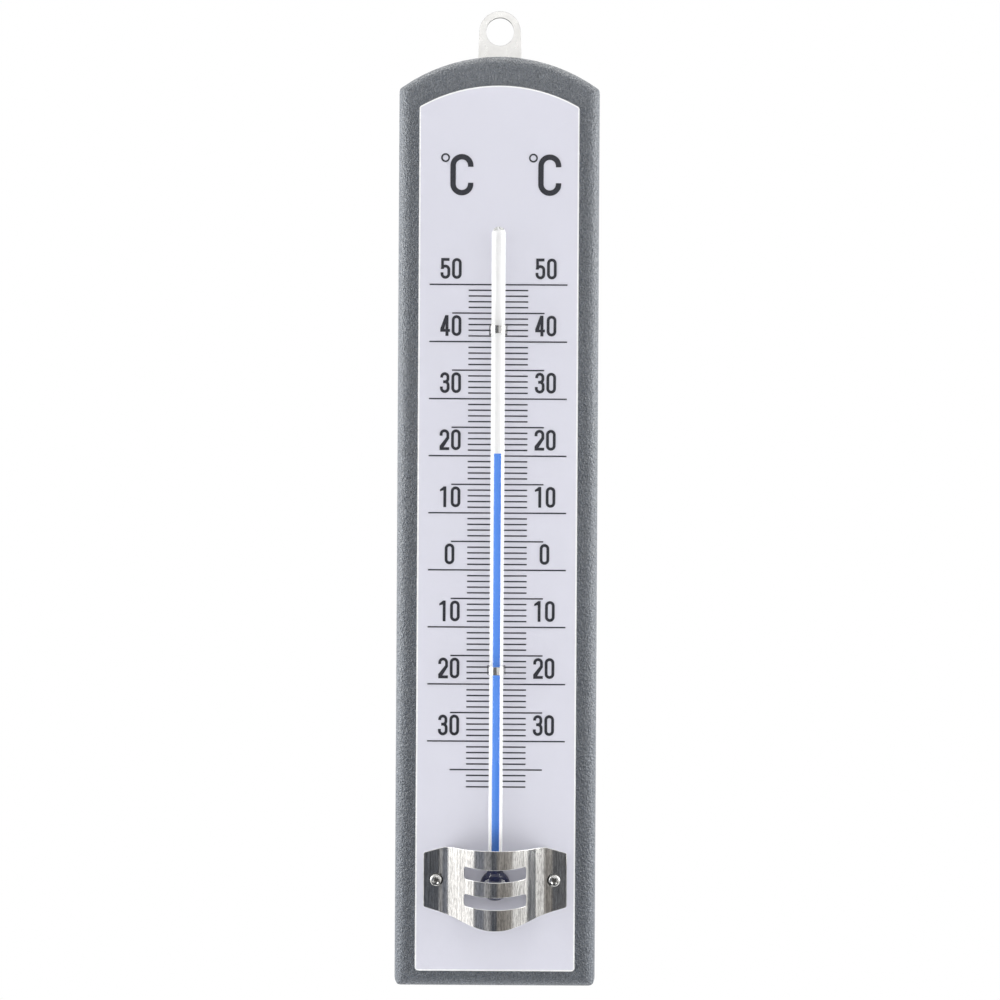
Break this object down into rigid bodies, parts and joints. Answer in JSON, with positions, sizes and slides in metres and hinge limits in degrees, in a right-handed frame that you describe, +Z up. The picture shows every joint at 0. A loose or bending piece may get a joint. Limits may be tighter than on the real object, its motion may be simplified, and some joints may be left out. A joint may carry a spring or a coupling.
{
  "type": "garden thermometer",
  "caption": "Wall thermometer: blue spirit in a clipped glass tube on a white printed plate, on an arched painted board, with a slotted guard over the bulb and a hanging tab.",
  "frame": {"origin": "centre of the hanging hole, at half the thickness of the hanger", "axes": "+X to the reader's right, +Y into the wall, +Z up; the scale faces -Y"},
  "size_m": [0.082, 0.0241, 0.4],
  "materials": {
    "board": "dark blue-grey paint with a fine pebbled texture, lighter where it turns over the edges",
    "plate": "glossy white enamel with a faint lavender cast",
    "tape": "off-white foam tape",
    "ink": "near-black printing ink",
    "glass": "clear drawn glass",
    "enamel": "opaque white enamel seen through glass",
    "spirit": "clear blue dyed spirit, magnified by the stem",
    "spirit_dark": "dyed spirit in bulk, almost black navy",
    "clip": "bright plated strip",
    "guard": "stainless sheet with a fine vertical grain",
    "screw": "bright plated, polished dome",
    "hanger": "pale satin sheet",
    "nail": "plain bright wire"
  },
  "bodies": {
    "thermometer": {"back_board": "board", "scale_plate": "plate", "plate_tape_left": "tape", "plate_tape_right": "tape", "degree_lines_left": "ink", "degree_lines_right": "ink", "scale_figures_left": "ink", "scale_figures_right": "ink", "unit_sign_left": "ink", "unit_sign_right": "ink", "glass_tube": "glass", "enamel_strip": "enamel", "spirit_reservoir": "spirit_dark", "upper_clip": "clip", "lower_clip": "clip", "bulb_guard": "guard", "guard_screw_left": "screw", "guard_screw_right": "screw", "hanger": "hanger", "hanger_nail_upper": "nail", "hanger_nail_lower": "nail"},
    "spirit": {"spirit_column": "spirit"}
  },
  "joints": [
    {"name": "spirit_rise", "type": "slide", "parent": "thermometer", "child": "spirit", "axis": [0, 0, 1], "range_m": [-0.13549, 0.06867], "deforming": ["spirit_column"]}
  ]
}
